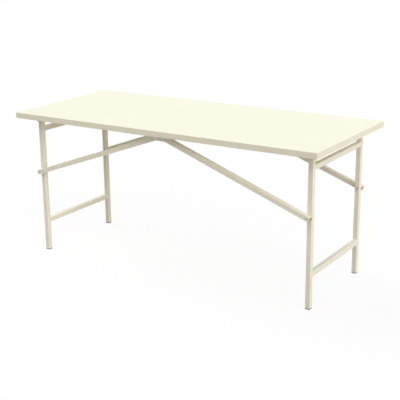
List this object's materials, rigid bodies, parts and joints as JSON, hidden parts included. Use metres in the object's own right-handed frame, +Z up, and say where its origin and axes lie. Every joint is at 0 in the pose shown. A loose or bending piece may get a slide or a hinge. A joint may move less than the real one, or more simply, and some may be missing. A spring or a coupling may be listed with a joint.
{
  "type": "folding work table",
  "caption": "Long rectangular work table with a laminated board, folding H-shaped square-tube leg frames and diagonal braces that hook onto the legs.",
  "frame": {"origin": "middle of the floor under the table, level with the soles of the foot caps", "axes": "+X along the table's length, +Y from the front to the back, +Z up"},
  "size_m": [1.8, 0.775, 0.804],
  "materials": {
    "cream_laminate": "smooth satin laminate",
    "edge_band": "satin",
    "backing_sheet": "matt",
    "board_core": "pressed board",
    "cream_paint": "semi-gloss powder coat",
    "grey_plastic": "moulded",
    "zinc_steel": "zinc plated"
  },
  "bodies": {
    "tabletop": {"top_core_board": "board_core", "top_laminate": "cream_laminate", "underside_backing_sheet": "backing_sheet", "edge_band_front": "edge_band", "edge_band_back": "edge_band", "edge_band_left": "edge_band", "edge_band_right": "edge_band", "hinge_bracket_front_right": "cream_paint", "hinge_bracket_front_left": "cream_paint", "hinge_bracket_back_right": "cream_paint", "hinge_bracket_back_left": "cream_paint", "hinge_pin_front_right": "zinc_steel", "hinge_pin_front_left": "zinc_steel", "hinge_pin_back_right": "zinc_steel", "hinge_pin_back_left": "zinc_steel", "centre_bracket_front": "cream_paint", "centre_bracket_back": "cream_paint", "centre_bolts": "zinc_steel", "centre_nuts": "zinc_steel", "bracket_screws": "zinc_steel"},
    "right_leg_frame": {"leg_front_right": "cream_paint", "leg_back_right": "cream_paint", "foot_cap_front_right": "grey_plastic", "foot_cap_back_right": "grey_plastic", "upper_crossbar_right": "cream_paint", "lower_crossbar_right": "cream_paint", "leg_studs_right": "zinc_steel", "leg_washers_right": "zinc_steel", "leg_nuts_right": "zinc_steel"},
    "left_leg_frame": {"leg_front_left": "cream_paint", "leg_back_left": "cream_paint", "foot_cap_front_left": "grey_plastic", "foot_cap_back_left": "grey_plastic", "upper_crossbar_left": "cream_paint", "lower_crossbar_left": "cream_paint", "leg_studs_left": "zinc_steel", "leg_washers_left": "zinc_steel", "leg_nuts_left": "zinc_steel"},
    "front_right_brace": {"brace_front_right": "cream_paint", "brace_bush_front_right": "zinc_steel", "lock_bolt_front_right": "zinc_steel", "lock_washer_front_right": "zinc_steel"},
    "front_left_brace": {"brace_front_left": "cream_paint", "brace_bush_front_left": "zinc_steel", "lock_bolt_front_left": "zinc_steel", "lock_washer_front_left": "zinc_steel"},
    "back_right_brace": {"brace_back_right": "cream_paint", "brace_bush_back_right": "zinc_steel", "lock_bolt_back_right": "zinc_steel", "lock_washer_back_right": "zinc_steel"},
    "back_left_brace": {"brace_back_left": "cream_paint", "brace_bush_back_left": "zinc_steel", "lock_bolt_back_left": "zinc_steel", "lock_washer_back_left": "zinc_steel"}
  },
  "joints": [
    {"name": "right_leg_fold", "type": "hinge", "parent": "tabletop", "child": "right_leg_frame", "pos_m": [0.8208, 0, 0.7501], "axis": [0, 1, 0], "range_deg": [0, 87.5]},
    {"name": "front_right_brace_swing", "type": "hinge", "parent": "tabletop", "child": "front_right_brace", "pos_m": [0.0195, -0.3038, 0.75254], "axis": [0, -1, 0], "range_deg": [0, 20.31]},
    {"name": "back_right_brace_swing", "type": "hinge", "parent": "tabletop", "child": "back_right_brace", "pos_m": [0.0195, 0.3038, 0.75254], "axis": [0, -1, 0], "range_deg": [0, 20.31]},
    {"name": "left_leg_fold", "type": "hinge", "parent": "tabletop", "child": "left_leg_frame", "pos_m": [-0.8208, 0, 0.7501], "axis": [0, -1, 0], "range_deg": [0, 87.5]},
    {"name": "front_left_brace_swing", "type": "hinge", "parent": "tabletop", "child": "front_left_brace", "pos_m": [-0.0195, -0.3038, 0.75254], "axis": [0, 1, 0], "range_deg": [0, 20.31]},
    {"name": "back_left_brace_swing", "type": "hinge", "parent": "tabletop", "child": "back_left_brace", "pos_m": [-0.0195, 0.3038, 0.75254], "axis": [0, 1, 0], "range_deg": [0, 20.31]}
  ],
  "couplings": [
    {"joint": "front_right_brace_swing", "follows": "right_leg_fold", "ratio": 0.23204},
    {"joint": "back_right_brace_swing", "follows": "right_leg_fold", "ratio": 0.23204},
    {"joint": "front_left_brace_swing", "follows": "left_leg_fold", "ratio": 0.23204},
    {"joint": "back_left_brace_swing", "follows": "left_leg_fold", "ratio": 0.23204}
  ]
}
